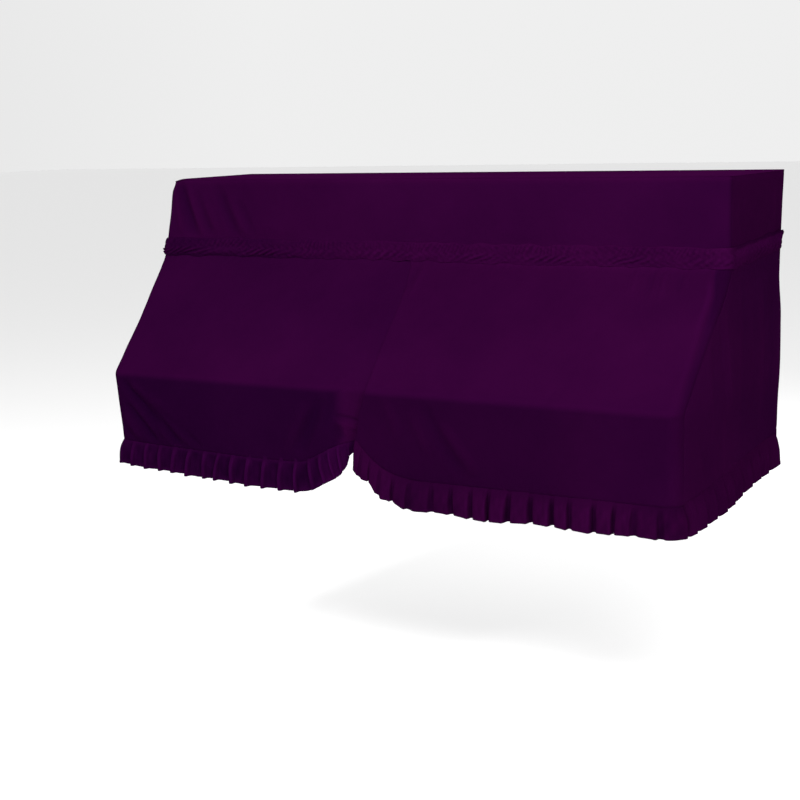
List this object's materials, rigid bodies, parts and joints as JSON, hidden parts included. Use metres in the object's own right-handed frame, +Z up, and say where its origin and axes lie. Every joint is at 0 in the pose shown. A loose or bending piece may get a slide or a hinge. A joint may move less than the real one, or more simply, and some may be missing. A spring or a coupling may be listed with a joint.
{
  "type": "upright piano half cover",
  "caption": "Velvet half cover for an upright piano: lid panel, hanging bands under a ruched trim, sloping front panels that part at a centre slit, and a pleated ruffle along the hem.",
  "frame": {"origin": "centre of the lid panel's underside, where the piano's lid carries the cover", "axes": "+Z up, +X along the lid to the right as seen from the front, -Y towards the player"},
  "size_m": [1.6111, 0.6326, 0.7443],
  "materials": {
    "velvet": "short-pile velvet, dark purple, matt with a soft sheen",
    "trim_velvet": "the same velvet, ruched",
    "ruffle_velvet": "the same velvet, pleated"
  },
  "bodies": {
    "root": {"lid_panel": "velvet", "front_band": "velvet", "left_band": "velvet", "right_band": "velvet", "trim": "trim_velvet", "left_front": "velvet", "right_front": "velvet", "left_side": "velvet", "right_side": "velvet", "back_panel": "velvet", "left_ruffle": "ruffle_velvet", "right_ruffle": "ruffle_velvet"}
  },
  "joints": []
}
